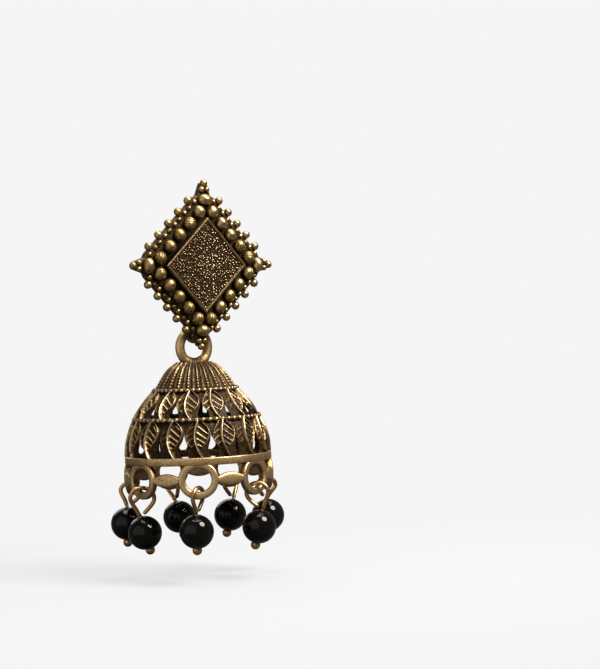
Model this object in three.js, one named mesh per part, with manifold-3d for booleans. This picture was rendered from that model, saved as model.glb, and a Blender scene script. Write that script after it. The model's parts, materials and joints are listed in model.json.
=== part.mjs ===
// A jhumka earring: a square stud plate set cornerwise, and a bell that hangs from a ring on
// the back of the plate. The bell is a hollow pierced dome with a fluted cap. Seven rings
// stand round its mouth, and a black bead hangs from each of them on a head pin.
// Millimetres, +Z up, the face of the plate towards -Y. The origin is where the ear post
// leaves the back of the plate.

import * as THREE from "three";
import { mergeVertices } from "three/addons/utils/BufferGeometryUtils.js";
import Module from "manifold-3d";

const wasm = await Module();
wasm.setup();

// Stud plate: a thin square with a raised bed, a framed panel, bosses and granules
const plateLean = 5.5; // degrees that the bell's weight tips the plate forward at the top
const plateThickness = 1.2;
const plateHalfSide = 10.0; // centre to each straight edge
const bedHalfSide = 8.9;
const bedRise = 0.2;
const panelHalfSide = 6.05;
const panelRise = 1.0; // above the bed
const frameWidth = 0.5;
const frameRise = 0.25; // the frame stands this far above the panel
const bossesPerSide = 5;
const bossRadius = 1.15;
const bossPitch = 2.87;
const bossGap = 0.5; // between the panel's wall and the row of bosses
const bossLift = 0.4; // centre of a boss above the bed
const edgeGranuleRadius = 0.74;
const edgeGranuleStandout = 0.5; // centre of the outer granules beyond the plate's edge
const smallGranuleRadius = 0.46;
const smallGranuleInset = 1.05; // in from the outer granule
const smallGranuleSpread = 0.8; // to each side of it
const endBossAcross = 1.45; // half-axes of the boss at the foot of each spike
const endBossAlong = 1.1;
const endBossHeight = 1.3;
const endBossOffset = 0.77; // beyond the corner where two rows of bosses would meet
const spikeReach = 14.6; // plate centre to the centre of the granule at the spike's tip
const spikeHalfWidth = 1.35;
const spikeGranuleRadius = 0.55;
const tipGranuleRadius = 0.69;

// Ring on the back of the plate, which carries the bell
const hangRingRadius = 2.15; // to the middle of its wire
const hangRingWire = 0.65; // half the wire's thickness
const hangRingSink = 1.15; // how deep the ring is cast into the plate's back
const hangRingDrop = 11.47; // plate centre down to the ring's centre
const hangRingPlay = 0.2; // between this ring and the bell's loop

// Ear post in its socket on the back of the plate
const postRadius = 0.45;
const postLength = 11.0;
const postRise = 2.5; // above the plate's centre
const postGrooveFromTip = 2.2;
const postGrooveDepth = 0.11;
const socketRadius = 1.5;
const socketHeight = 0.8;

// Bell: loop, fluted cap, two tiers of leaves, rim band
const loopRadius = 3.0; // to the middle of the loop's wire
const loopWire = 0.85;
const loopSink = 0.35; // middle of the loop's wire below the top of the cap
const bellRadius = 12.9; // outside of the dome at its rim
const bellHeight = 17.9; // top of the cap to the underside of the rim band
const bellWall = 0.85;
const fluteCount = 24;
const fluteDepth = 0.35;
const bandWire = 0.38; // half the thickness of the two round bands
const rimBandHeight = 1.35;
const rimBandStandout = 0.3; // beyond the dome
const capCeiling = 2.65; // top of the cap down to its hollow
const leafRibRise = 0.35;
const leafBackInset = 0.06; // back of a leaf in front of the rim band's inside
const upperLeafCount = 13;
const lowerLeafCount = 16;
const upperLeafTurn = -43; // degrees round from the front to the first leaf of each tier
const lowerLeafTurn = -34;

// Gallery under the rim: rings with a pointed oval plate between each two
const dropCount = 7;
const galleryTurn = -34.5; // degrees round from the front to the first ring
const galleryRingAcross = 2.9; // half-axes of the oval line that the ring's band follows
const galleryRingTall = 2.72;
const galleryRingBand = 0.65; // half the band's width
const galleryRingDepth = 0.65; // half its depth
const galleryRingSink = 0.85; // overlap with the rim band
const galleryRingInset = 0.1; // face of the rings behind the rim band's
const ovalHalfHeight = 1.2; // in its middle
const ovalEndHalfHeight = 0.5;
const ovalThickness = 1.1;
const ovalOverlap = 0.3; // of each end of the oval with its ring

// Drops: a drilled bead on a head pin whose end is bent into a loop
const beadRadius = 3.0;
const beadHoleRadius = 0.5;
const beadSeatRadius = 0.85; // of the countersink that the pin's head sits in
const beadSeatDepth = 0.45;
const pinRadius = 0.375;
const pinHeadRadius = 0.85;
const pinHeadDrop = 0.4; // middle of the head below the bottom of the bead
const pinLoopHalfWidth = 2.0;
const pinLoopLength = 4.0; // top of a usual loop to its neck
const pinNeckLength = 0.35; // from there to the top of the bead
const pinRide = 0.36; // a turned loop rides this far up the sides of its ring's hole
const clearance = 0.13; // between pieces that hang in or stand on one another

// The dome's outline, as shares of bellHeight down from the top and of bellRadius
const domeStations = [
  { down: 0.0, out: 0.245 },
  { down: 0.039, out: 0.349 },
  { down: 0.1, out: 0.428 },
  { down: 0.18, out: 0.505 },
  { down: 0.29, out: 0.592 },
  { down: 0.363, out: 0.693 },
  { down: 0.447, out: 0.783 },
  { down: 0.525, out: 0.85 },
  { down: 0.654, out: 0.93 },
  { down: 0.788, out: 0.983 },
  { down: 0.93, out: 1.0 },
  { down: 1.0, out: 1.0 },
];
const upperBandDown = 0.275; // where the round bands sit, as shares of bellHeight
const middleBandDown = 0.559;
const bandOverlap = 0.011; // how far past a band's middle each neighbour runs

// A leaf, as shares of its tier's height down and of the tier's pitch to each side
const leafRows = [
  { down: 0.0, left: -0.1, rib: 0.03, right: 0.12 },
  { down: 0.34, left: -0.47, rib: -0.08, right: 0.58 },
  { down: 0.68, left: -0.3, rib: 0.0, right: 0.3 },
  { down: 1.0, left: 0.02, rib: 0.14, right: 0.25 },
];

// The pin's loop, as shares of its half-width to one side and of its length down
const pinLoopShape = [
  { side: -0.25, down: 0.86 },
  { side: -1, down: 0.4 },
  { side: -0.75, down: 0.11 },
  { side: 0, down: 0 },
  { side: 0.75, down: 0.11 },
  { side: 1, down: 0.4 },
];
const pinEndDown = 0.92; // where the wire's cut end stops beside the neck

// Each pin's loop is bent by hand: its length and half-width as shares of the two above, and in
// degrees how far it is turned about the vertical. Then how the drop is swung sideways and
// outwards from its ring, and how the bead is bent sideways and outwards at the neck.
const dropPoses = [
  { long: 1.1125, wide: 0.925, turn: -28, sway: -8, swing: 0, tip: 7, nod: -12 },
  { long: 1.1875, wide: 1.0, turn: 20, sway: 13, swing: 11, tip: -12, nod: -28 },
  { long: 0.875, wide: 0.85, turn: 0, sway: 4, swing: 2, tip: 2, nod: 0 },
  { long: 1.0, wide: 0.9, turn: -14, sway: -12, swing: 1, tip: 24, nod: -6 },
  { long: 1.0, wide: 0.9, turn: 10, sway: -11, swing: 1, tip: 0, nod: -5 },
  { long: 1.0, wide: 0.925, turn: 0, sway: 0, swing: 17, tip: 0, nod: -16 },
  { long: 1.25, wide: 1.075, turn: -24, sway: -10, swing: 5, tip: 4, nod: -26 },
];

const degrees = Math.PI / 180;

// Materials

const antiqueGold = new THREE.MeshStandardMaterial({
  color: 0x8f7743,
  roughness: 0.42,
  metalness: 1.0,
});
const pinGold = new THREE.MeshStandardMaterial({
  color: 0xb48a4e,
  roughness: 0.3,
  metalness: 1.0,
});
const postSteel = new THREE.MeshStandardMaterial({
  color: 0xb9b6b0,
  roughness: 0.3,
  metalness: 1.0,
});
const blackGlass = new THREE.MeshStandardMaterial({
  color: 0x060606,
  roughness: 0.08,
  metalness: 0.0,
});

// Solids: geometries are joined and cut as manifolds, and come back as one closed mesh

function solid(geometry) {
  const bare = geometry.clone();
  bare.deleteAttribute("normal");
  bare.deleteAttribute("uv");
  const merged = mergeVertices(bare, 1e-5);
  const corners = merged.index.array;
  const kept = [];
  for (let i = 0; i < corners.length; i += 3) {
    const [a, b, c] = corners.subarray(i, i + 3);
    if (a !== b && b !== c && c !== a) kept.push(a, b, c); // a lathe's pole has empty faces
  }
  return new wasm.Manifold(
    new wasm.Mesh({
      numProp: 3,
      vertProperties: merged.attributes.position.array,
      triVerts: new Uint32Array(kept),
    }),
  );
}

function join(geometries) {
  return geometries.map(solid).reduce((whole, next) => whole.add(next));
}

function geometryOf(manifold) {
  const mesh = manifold.getMesh();
  const geometry = new THREE.BufferGeometry();
  geometry.setAttribute("position", new THREE.BufferAttribute(mesh.vertProperties, 3));
  geometry.setIndex(new THREE.BufferAttribute(mesh.triVerts, 1));
  geometry.computeVertexNormals();
  return geometry;
}

function mesh(name, geometry, material) {
  const made = new THREE.Mesh(geometry, material);
  made.name = name;
  return made;
}

// A ring round the Z axis of a section with the given half-sizes, out from and along the axis
function hoop(radius, halfOut, halfAlong, sides, segments) {
  const profile = [];
  for (let i = 0; i <= sides; i++) {
    const angle = ((i % sides) + 0.5) * ((2 * Math.PI) / sides);
    const corner = 1 / Math.cos(Math.PI / sides);
    profile.push(
      new THREE.Vector2(
        radius + halfOut * corner * Math.cos(angle),
        halfAlong * corner * Math.sin(angle),
      ),
    );
  }
  return new THREE.LatheGeometry(profile, segments).rotateX(Math.PI / 2);
}

function ball(radius, sides, rings) {
  return new THREE.SphereGeometry(radius, sides, rings).rotateX(Math.PI / 2);
}

// A flat outline in the XZ plane, from back to front along -Y
function slab(outline, back, front) {
  return new THREE.ExtrudeGeometry(outline, { depth: back - front, bevelEnabled: false })
    .rotateX(Math.PI / 2)
    .translate(0, back, 0);
}

// Stud plate

const plateCentre = -postRise; // the plate's centre, below the post
const flangeFace = -plateThickness; // the faces of the steps, along Y from the plate's back
const bedFace = flangeFace - bedRise;
const panelFace = bedFace - panelRise;

// A point of the plate from its distances along a diagonal and across it, in the XZ plane
function onDiagonal(quarter, along, across) {
  const angle = quarter * 90 * degrees;
  return new THREE.Vector2(
    along * Math.sin(angle) + across * Math.cos(angle),
    along * Math.cos(angle) - across * Math.sin(angle),
  );
}

// A point from its distances out from the centre and along one straight side
function onSide(quarter, out, along) {
  return onDiagonal(quarter, (out + along) / Math.SQRT2, (out - along) / Math.SQRT2);
}

// Moves a geometry to a point of the plate, whose two numbers are its X and Z
function place(geometry, point, y) {
  return geometry.translate(point.x, y, point.y);
}

function square(halfSide) {
  const corners = [0, 1, 2, 3].map((quarter) => onDiagonal(quarter, halfSide * Math.SQRT2, 0));
  return new THREE.Shape(corners);
}

function plateOutline() {
  const sideEnd = ((bossesPerSide - 1) / 2) * bossPitch + smallGranuleSpread + smallGranuleRadius;
  const shoulder = spikeReach - 4 * spikeGranuleRadius;
  const tipHalfWidth = 1.1 * spikeGranuleRadius;
  const points = [0, 1, 2, 3].flatMap((quarter) => [
    onSide(quarter, sideEnd, plateHalfSide),
    onDiagonal(quarter, shoulder, -spikeHalfWidth),
    onDiagonal(quarter, spikeReach, -tipHalfWidth),
    onDiagonal(quarter, spikeReach, tipHalfWidth),
    onDiagonal(quarter, shoulder, spikeHalfWidth),
    onSide(quarter, plateHalfSide, sideEnd),
  ]);
  return new THREE.Shape(points);
}

function sideRow(quarter) {
  const bossLine = panelHalfSide + bossGap + bossRadius;
  const granuleLine = plateHalfSide + edgeGranuleStandout;
  const row = [];
  for (let i = 0; i < bossesPerSide; i++) {
    const along = (i - (bossesPerSide - 1) / 2) * bossPitch;
    row.push(
      place(ball(bossRadius, 7, 5), onSide(quarter, bossLine, along), bedFace - bossLift),
      place(
        ball(edgeGranuleRadius, 6, 4),
        onSide(quarter, granuleLine, along),
        flangeFace + edgeGranuleRadius / 4,
      ),
    );
    for (const side of [-1, 1]) {
      const spot = onSide(
        quarter,
        granuleLine - smallGranuleInset,
        along + side * smallGranuleSpread,
      );
      row.push(place(ball(smallGranuleRadius, 5, 3), spot, flangeFace));
    }
  }
  return row;
}

function spike(quarter) {
  const foot = (panelHalfSide + bossGap + bossRadius) * Math.SQRT2 + endBossOffset;
  const turned = new THREE.Matrix4().makeRotationY(quarter * 90 * degrees);
  const endBoss = ball(1, 8, 5)
    .scale(endBossAcross, endBossHeight, endBossAlong)
    .applyMatrix4(turned);
  const pairLine = spikeReach - 2 * spikeGranuleRadius;
  return [
    place(endBoss, onDiagonal(quarter, foot, 0), bedFace),
    place(
      ball(spikeGranuleRadius, 6, 4),
      onDiagonal(quarter, pairLine, spikeGranuleRadius),
      flangeFace,
    ),
    place(
      ball(spikeGranuleRadius, 6, 4),
      onDiagonal(quarter, pairLine, -spikeGranuleRadius),
      flangeFace,
    ),
    place(
      ball(tipGranuleRadius, 6, 5),
      onDiagonal(quarter, spikeReach, 0),
      flangeFace + spikeGranuleRadius / 3,
    ),
  ];
}

// The ring stands on edge behind the plate, so that its hole faces sideways.
const hangRingCentre = new THREE.Vector3(
  0,
  hangRingRadius + hangRingWire - hangRingSink,
  plateCentre - hangRingDrop,
);

function studPlate() {
  const shape = join([
    slab(plateOutline(), 0, flangeFace),
    slab(square(bedHalfSide), -plateThickness / 2, bedFace),
    slab(square(panelHalfSide), -plateThickness / 2, panelFace - frameRise),
    ...[0, 1, 2, 3].flatMap((quarter) => [...sideRow(quarter), ...spike(quarter)]),
  ]).translate([0, 0, plateCentre]);
  const recess = solid(
    slab(square(panelHalfSide - frameWidth), panelFace, panelFace - 2 * frameRise),
  ).translate([0, 0, plateCentre]);
  const ring = solid(
    hoop(hangRingRadius, hangRingWire, hangRingWire, 6, 16)
      .rotateY(Math.PI / 2)
      .translate(...hangRingCentre.toArray()),
  );
  const socket = solid(new THREE.CylinderGeometry(socketRadius, socketRadius, 2 * socketHeight, 12));
  const boreRadius = postRadius + clearance;
  const boreDepth = socketHeight + clearance;
  const bore = solid(
    new THREE.CylinderGeometry(boreRadius, boreRadius, 2 * boreDepth, 12).translate(0, boreDepth, 0),
  );
  return geometryOf(shape.subtract(recess).add(ring).add(socket).subtract(bore));
}

// The post stands in the socket's bore, clear of its floor, with a groove for a push-on back.
function earPost() {
  const groove = postLength - postGrooveFromTip;
  const profile = [
    new THREE.Vector2(0, clearance),
    new THREE.Vector2(postRadius, clearance),
    new THREE.Vector2(postRadius, groove - postRadius),
    new THREE.Vector2(postRadius - postGrooveDepth, groove),
    new THREE.Vector2(postRadius, groove + postRadius),
    new THREE.Vector2(postRadius, postLength - postRadius),
    new THREE.Vector2(postRadius * 0.6, postLength - postRadius * 0.2),
    new THREE.Vector2(0, postLength),
  ];
  return geometryOf(solid(new THREE.LatheGeometry(profile, 8)));
}

const stud = new THREE.Group();
stud.rotation.x = plateLean * degrees;
stud.add(mesh("stud_plate", studPlate(), antiqueGold));
stud.add(mesh("ear_post", earPost(), postSteel));

// Bell, measured down from the middle of its loop's top wire, which is its swing axis

const capTop = 2 * loopRadius - loopSink;
const rimUnderside = capTop + bellHeight;

function domeRadius(down) {
  const next = Math.max(1, domeStations.findIndex((station) => station.down >= down));
  const [a, b] = [domeStations[next - 1], domeStations[next]];
  const share = (down - a.down) / (b.down - a.down);
  return bellRadius * (a.out + share * (b.out - a.out));
}

// A point on the dome, at a share of its height, a turn round it, and a lift off its surface
function onDome(down, turn, lift) {
  const radius = domeRadius(down) + lift;
  return new THREE.Vector3(
    radius * Math.sin(turn),
    -radius * Math.cos(turn),
    -capTop - down * bellHeight,
  );
}

// The cap is turned about its axis, and every second column of its outside is drawn in.
function flutedCap() {
  const lip = upperBandDown + bandOverlap;
  const stations = domeStations.map((station) => station.down).reverse();
  const fluted = [lip, ...stations.filter((down) => down > 0 && down < lip)];
  const height = (down) => -capTop - down * bellHeight;
  const profile = [
    new THREE.Vector2(0, height(lip)),
    ...fluted.map((down) => new THREE.Vector2(domeRadius(down), height(down))),
    new THREE.Vector2(domeRadius(0), height(0)),
    new THREE.Vector2(0, height(0)),
  ];
  const cap = new THREE.LatheGeometry(profile, 2 * fluteCount);
  const position = cap.attributes.position;
  for (let i = 0; i < position.count; i++) {
    const row = i % profile.length;
    const column = Math.floor(i / profile.length);
    if (row < 1 || row > fluted.length || column % 2 === 0) continue;
    const share = 1 - fluteDepth / profile[row].x;
    position.setX(i, position.getX(i) * share);
    position.setZ(i, position.getZ(i) * share);
  }
  const ceiling = -capTop - capCeiling;
  const [mouth, neck] = [lip, (capCeiling - bellWall / 2) / bellHeight].map(domeRadius);
  const hollow = new THREE.LatheGeometry(
    [
      new THREE.Vector2(0, height(2 * lip)),
      new THREE.Vector2(mouth - bellWall, height(2 * lip)),
      new THREE.Vector2(mouth - bellWall, height(lip)),
      new THREE.Vector2(neck - bellWall, ceiling),
      new THREE.Vector2(0, ceiling),
    ],
    16,
  );
  return solid(cap.rotateX(Math.PI / 2)).subtract(solid(hollow.rotateX(Math.PI / 2)));
}

function roundBand(down, segments) {
  const { z } = onDome(down, 0, 0);
  return hoop(domeRadius(down) - bandWire / 4, bandWire, bandWire, 5, segments).translate(0, 0, z);
}

// A closed plate between a front and a back sheet of points, each a list of equal rows
function plateBetween(front, back) {
  const rows = front.length;
  const columns = front[0].length;
  const points = [...front.flat(), ...back.flat()];
  const at = (side, i, j) => side * rows * columns + i * columns + j;
  const faces = [];
  const quad = (a, b, c, d) => faces.push(a, b, c, a, c, d);
  for (let i = 0; i + 1 < rows; i++)
    for (let j = 0; j + 1 < columns; j++) {
      quad(at(0, i, j), at(0, i + 1, j), at(0, i + 1, j + 1), at(0, i, j + 1));
      quad(at(1, i, j), at(1, i, j + 1), at(1, i + 1, j + 1), at(1, i + 1, j));
    }
  for (let i = 0; i + 1 < rows; i++) {
    const last = columns - 1;
    quad(at(0, i, 0), at(1, i, 0), at(1, i + 1, 0), at(0, i + 1, 0));
    quad(at(0, i, last), at(0, i + 1, last), at(1, i + 1, last), at(1, i, last));
  }
  for (let j = 0; j + 1 < columns; j++) {
    const last = rows - 1;
    quad(at(0, 0, j), at(0, 0, j + 1), at(1, 0, j + 1), at(1, 0, j));
    quad(at(0, last, j), at(1, last, j), at(1, last, j + 1), at(0, last, j + 1));
  }
  const geometry = new THREE.BufferGeometry().setFromPoints(points);
  geometry.setIndex(faces);
  return geometry;
}

// One leaf of a tier, curved with the dome, its midrib raised, its ends inside the two bands
function leaf(top, bottom, turn, pitch) {
  const sheet = (edgeLift, ribLift) =>
    leafRows.map((row) => {
      const down = top + row.down * (bottom - top);
      return [
        onDome(down, turn + row.left * pitch, edgeLift),
        onDome(down, turn + row.rib * pitch, ribLift),
        onDome(down, turn + row.right * pitch, edgeLift),
      ];
    });
  const back = leafBackInset - bellWall;
  return plateBetween(sheet(0, leafRibRise), sheet(back, back));
}

function leafTier(top, bottom, count, firstTurn) {
  const pitch = (2 * Math.PI) / count;
  return Array.from({ length: count }, (_, i) =>
    leaf(top, bottom, firstTurn * degrees + i * pitch, pitch),
  );
}

const rimTop = 1 - rimBandHeight / bellHeight;
const galleryRadius = bellRadius + rimBandStandout - galleryRingInset - galleryRingDepth;
const galleryRingOut = galleryRingAcross + galleryRingBand;
const galleryRingCentre = rimUnderside - galleryRingSink + galleryRingTall + galleryRingBand;

function rimBand() {
  const outer = bellRadius + rimBandStandout;
  const inner = bellRadius - bellWall;
  const [top, foot] = [rimBandHeight - rimUnderside, -rimUnderside];
  const profile = [
    new THREE.Vector2(inner, foot),
    new THREE.Vector2(outer, foot),
    new THREE.Vector2(outer, top),
    new THREE.Vector2(inner, top),
    new THREE.Vector2(inner, foot),
  ];
  return new THREE.LatheGeometry(profile, 40).rotateX(Math.PI / 2);
}

// Turned so that -Y points out through the gallery's place number index
function galleryTurnOf(index) {
  return galleryTurn * degrees + (index * 2 * Math.PI) / dropCount;
}

// A round hoop whose band is moved on to the oval line, its width kept
function galleryRing(index) {
  const ring = hoop(galleryRingAcross, galleryRingBand, galleryRingDepth, 6, 12);
  ring.rotateX(Math.PI / 2);
  const position = ring.attributes.position;
  for (let i = 0; i < position.count; i++) {
    const angle = Math.atan2(position.getZ(i), position.getX(i));
    position.setZ(i, position.getZ(i) + (galleryRingTall - galleryRingAcross) * Math.sin(angle));
  }
  return ring
    .translate(0, -galleryRadius, -galleryRingCentre)
    .rotateZ(galleryTurnOf(index));
}

function galleryOval(index) {
  const chord = 2 * galleryRadius * Math.sin(Math.PI / dropCount);
  const halfLength = chord / 2 - galleryRingOut * Math.cos(Math.PI / dropCount) + ovalOverlap;
  const outline = new THREE.Shape();
  const end = ovalEndHalfHeight;
  const bulge = 2 * ovalHalfHeight - end; // the curve's middle is halfway from its ends to this
  outline.moveTo(-halfLength, end);
  outline.lineTo(-halfLength, -end);
  outline.quadraticCurveTo(0, -bulge, halfLength, -end);
  outline.lineTo(halfLength, end);
  outline.quadraticCurveTo(0, bulge, -halfLength, end);
  // The rings turn away on both sides, so the oval stands out as far as their near edges.
  const middle =
    galleryRadius * Math.cos(Math.PI / dropCount) + galleryRingOut * Math.sin(Math.PI / dropCount);
  return new THREE.ExtrudeGeometry(outline, {
    depth: ovalThickness,
    bevelEnabled: false,
    curveSegments: 4,
  })
    .rotateX(Math.PI / 2)
    .translate(0, ovalThickness / 2 - middle, -galleryRingCentre)
    .rotateZ(galleryTurnOf(index + 0.5));
}

function bellSolid() {
  const places = Array.from({ length: dropCount }, (_, i) => i);
  const loop = hoop(loopRadius, loopWire, loopWire, 8, 18)
    .rotateX(Math.PI / 2)
    .translate(0, 0, -loopRadius);
  const open = join([
    loop,
    roundBand(upperBandDown, 26),
    ...leafTier(
      upperBandDown - bandOverlap,
      middleBandDown + bandOverlap,
      upperLeafCount,
      upperLeafTurn,
    ),
    roundBand(middleBandDown, 32),
    ...leafTier(
      middleBandDown - bandOverlap,
      rimTop + bandOverlap,
      lowerLeafCount,
      lowerLeafTurn,
    ),
    rimBand(),
    ...places.map(galleryRing),
    ...places.map(galleryOval),
  ]);
  return geometryOf(open.add(flutedCap()));
}

// Drops. A pin is measured down from the middle of the wire at the top of its loop, and a bead
// from the neck, where the loop ends

const beadCentre = pinNeckLength + beadRadius;

function bead() {
  const [foot, top] = [beadSeatRadius, beadHoleRadius].map((hole) => Math.asin(hole / beadRadius));
  const steps = 5;
  const profile = [];
  for (let i = 0; i <= steps; i++) {
    const angle = -Math.PI / 2 + foot + (i / steps) * (Math.PI - foot - top);
    profile.push(new THREE.Vector2(beadRadius * Math.cos(angle), beadRadius * Math.sin(angle)));
  }
  profile.push(new THREE.Vector2(beadHoleRadius, profile[0].y + beadSeatDepth), profile[0].clone());
  const turned = new THREE.LatheGeometry(profile, 12).rotateX(Math.PI / 2);
  return geometryOf(solid(turned.translate(0, 0, -beadCentre)));
}

// The loop's line from the neck up one side, over the top and back to the neck
function pinLoopLine(pose) {
  const [length, halfWidth] = [pose.long * pinLoopLength, pose.wide * pinLoopHalfWidth];
  return new THREE.CatmullRomCurve3([
    new THREE.Vector3(0, 0, -length - clearance),
    ...pinLoopShape.map(({ side, down }) => new THREE.Vector3(0, side * halfWidth, -down * length)),
    new THREE.Vector3(0, 1.75 * pinRadius, -pinEndDown * length),
  ]);
}

// The rotation that carries what hangs down towards +X and outwards, towards -Y
function leaning(sideways, outwards) {
  return new THREE.Euler(-outwards * degrees, -sideways * degrees, 0);
}

function headPin(pose) {
  const section = new THREE.Shape(
    Array.from({ length: 5 }, (_, i) => {
      const angle = (i * 2 * Math.PI) / 5;
      return new THREE.Vector2(pinRadius * Math.cos(angle), pinRadius * Math.sin(angle));
    }),
  );
  const bent = new THREE.ExtrudeGeometry(section, { steps: 10, extrudePath: pinLoopLine(pose) });
  const headCentre = beadCentre + beadRadius + pinHeadDrop;
  const bend = new THREE.Matrix4()
    .makeTranslation(0, 0, -pose.long * pinLoopLength)
    .multiply(new THREE.Matrix4().makeRotationFromEuler(leaning(pose.tip, pose.nod)));
  const shank = new THREE.CylinderGeometry(pinRadius, pinRadius, headCentre + pinRadius, 5)
    .rotateX(Math.PI / 2)
    .translate(0, 0, (pinRadius - headCentre) / 2);
  const head = ball(pinHeadRadius, 7, 4).translate(0, 0, -headCentre);
  return geometryOf(
    join([bent.rotateZ(pose.turn * degrees), shank.applyMatrix4(bend), head.applyMatrix4(bend)]),
  );
}

// The bell hangs plumb from the lowest point of the ring's hole.
const bell = new THREE.Group();
bell.position.copy(hangRingCentre).applyEuler(stud.rotation);
bell.position.z -= hangRingRadius - hangRingWire - loopWire - hangRingPlay;
bell.add(mesh("bell", bellSolid(), antiqueGold));

const dropTop = galleryRingCentre + galleryRingTall - galleryRingBand - pinRide - pinRadius;
dropPoses.slice(0, dropCount).forEach((pose, index) => {
  const spot = new THREE.Group();
  spot.rotation.z = galleryTurnOf(index);
  const hung = new THREE.Group();
  hung.position.set(0, -galleryRadius, -dropTop);
  hung.rotation.copy(leaning(pose.sway, pose.swing));
  const strung = mesh(`bead_${index + 1}`, bead(), blackGlass);
  strung.position.z = -pose.long * pinLoopLength;
  strung.rotation.copy(leaning(pose.tip, pose.nod));
  hung.add(mesh(`head_pin_${index + 1}`, headPin(pose), pinGold));
  hung.add(strung);
  spot.add(hung);
  bell.add(spot);
});

const earring = new THREE.Group();
earring.add(stud);
earring.add(bell);

export default earring;
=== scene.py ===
"""A jhumka earring in antiqued brass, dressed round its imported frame.

The sizes below are in millimetres and are turned to metres as each mesh is made. The frame's
origin is where the ear post leaves the back of the stud; +Z is up and the face looks along -Y.
"""

import json
import math

import bpy
import numpy as np
from mathutils import Matrix, Vector


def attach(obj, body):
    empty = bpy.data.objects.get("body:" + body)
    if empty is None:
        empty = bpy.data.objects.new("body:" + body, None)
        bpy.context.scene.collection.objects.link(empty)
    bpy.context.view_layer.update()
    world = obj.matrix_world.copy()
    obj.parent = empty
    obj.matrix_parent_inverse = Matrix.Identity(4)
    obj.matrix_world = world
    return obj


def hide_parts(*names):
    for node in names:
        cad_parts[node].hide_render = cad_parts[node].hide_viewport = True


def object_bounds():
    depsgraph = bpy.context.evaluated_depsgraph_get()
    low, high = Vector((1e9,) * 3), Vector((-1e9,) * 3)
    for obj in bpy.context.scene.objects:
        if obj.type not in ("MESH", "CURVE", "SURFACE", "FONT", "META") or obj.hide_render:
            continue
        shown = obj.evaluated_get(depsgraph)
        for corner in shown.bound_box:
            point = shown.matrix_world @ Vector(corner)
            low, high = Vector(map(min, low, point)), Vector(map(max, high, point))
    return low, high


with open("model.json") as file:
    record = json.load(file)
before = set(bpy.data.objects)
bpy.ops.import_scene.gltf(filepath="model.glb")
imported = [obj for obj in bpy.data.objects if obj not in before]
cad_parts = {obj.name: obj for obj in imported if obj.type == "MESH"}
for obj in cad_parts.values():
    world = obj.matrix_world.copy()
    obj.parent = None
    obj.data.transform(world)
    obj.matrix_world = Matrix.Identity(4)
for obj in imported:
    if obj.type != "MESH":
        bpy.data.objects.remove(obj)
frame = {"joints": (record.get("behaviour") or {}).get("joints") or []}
cad_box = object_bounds()


# Camera
# The photograph looks at the earring from its left front, level with the cap of the bell,
# from about 330 mm away; the earring stands left of the picture's middle.

MM = 0.001
hinge = np.array(frame["joints"][0]["pos_m"]) / MM
camera_distance = 330.0
camera_turn = math.radians(-34)
focal_pixels = 1825.0
picture_height_pixels = 669
off_centre_pixels = 106.6
camera_roll = math.radians(-2.3)
aim_below_hinge = 1.5
sensor_width = 36.0
nearest_seen = 10.0
farthest_seen = 10000.0

ahead = Vector((-math.sin(camera_turn), math.cos(camera_turn), 0))
rightward = Vector((ahead.y, -ahead.x, 0))
aim = Vector((hinge[0], hinge[1], hinge[2] - aim_below_hinge))
off_axis = math.atan(off_centre_pixels / focal_pixels)
forward = ahead * math.cos(off_axis) + rightward * math.sin(off_axis)
right = Vector((forward.y, -forward.x, 0))

lens = bpy.data.cameras.new("camera")
lens.sensor_width = sensor_width
lens.lens = focal_pixels * sensor_width / picture_height_pixels
lens.clip_start = nearest_seen * MM
lens.clip_end = farthest_seen * MM
camera = bpy.data.objects.new("camera", lens)
turned = Matrix((right, Vector((0, 0, 1)), -forward)).transposed().to_4x4()
place = Matrix.Translation((aim - ahead * camera_distance) * MM)
camera.matrix_world = place @ turned @ Matrix.Rotation(camera_roll, 4, "Z")
bpy.context.collection.objects.link(camera)
bpy.context.scene.camera = camera
bpy.context.scene.view_settings.view_transform = "Standard"


# Studio: a pale paper floor that melts into a pale backdrop, and soft lamps
# The key stands high to the right, so every granule and bead carries a small highlight there.


def linear(hex_colour):
    """The linear RGBA of an sRGB colour written as "#rrggbb"."""
    parts = [int(hex_colour[i : i + 2], 16) / 255 for i in (1, 3, 5)]
    return [p / 12.92 if p <= 0.04045 else ((p + 0.055) / 1.055) ** 2.4 for p in parts] + [1.0]


def add_node(tree, kind, settings=None, **inputs):
    """Adds a node, sets its properties, and sets or links its inputs by their names.

    An input's underscores stand for spaces, and one named in_2 is the node's third socket.
    """
    node = tree.nodes.new(kind)
    for name, value in (settings or {}).items():
        setattr(node, name, value)
    for name, value in inputs.items():
        socket = node.inputs[int(name[3:]) if name[:3] == "in_" else name.replace("_", " ")]
        if isinstance(value, bpy.types.NodeSocket):
            tree.links.new(value, socket)
        else:
            socket.default_value = value
    return node


def mix_shaders(tree, factor, first, second):
    """Two shaders mixed: the first alone at factor 0, the second alone at factor 1."""
    inputs = {"in_0": factor, "in_1": first.outputs[0], "in_2": second.outputs[0]}
    return add_node(tree, "ShaderNodeMixShader", **inputs).outputs[0]


backdrop_colour = linear("#f5f5f5")
studio_grey = linear("#8d8a84")
studio_strength = 0.62

world = bpy.data.worlds.new("studio")
world.use_nodes = True
sky = world.node_tree
sky.nodes.clear()
seen = add_node(sky, "ShaderNodeBackground", Color=backdrop_colour, Strength=1.0)
lit = add_node(sky, "ShaderNodeBackground", Color=studio_grey, Strength=studio_strength)
rays = add_node(sky, "ShaderNodeLightPath")
mixed = mix_shaders(sky, rays.outputs["Is Camera Ray"], lit, seen)
add_node(sky, "ShaderNodeOutputWorld", Surface=mixed)
bpy.context.scene.world = world

lamps_aim_below_hinge = 10.0


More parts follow.
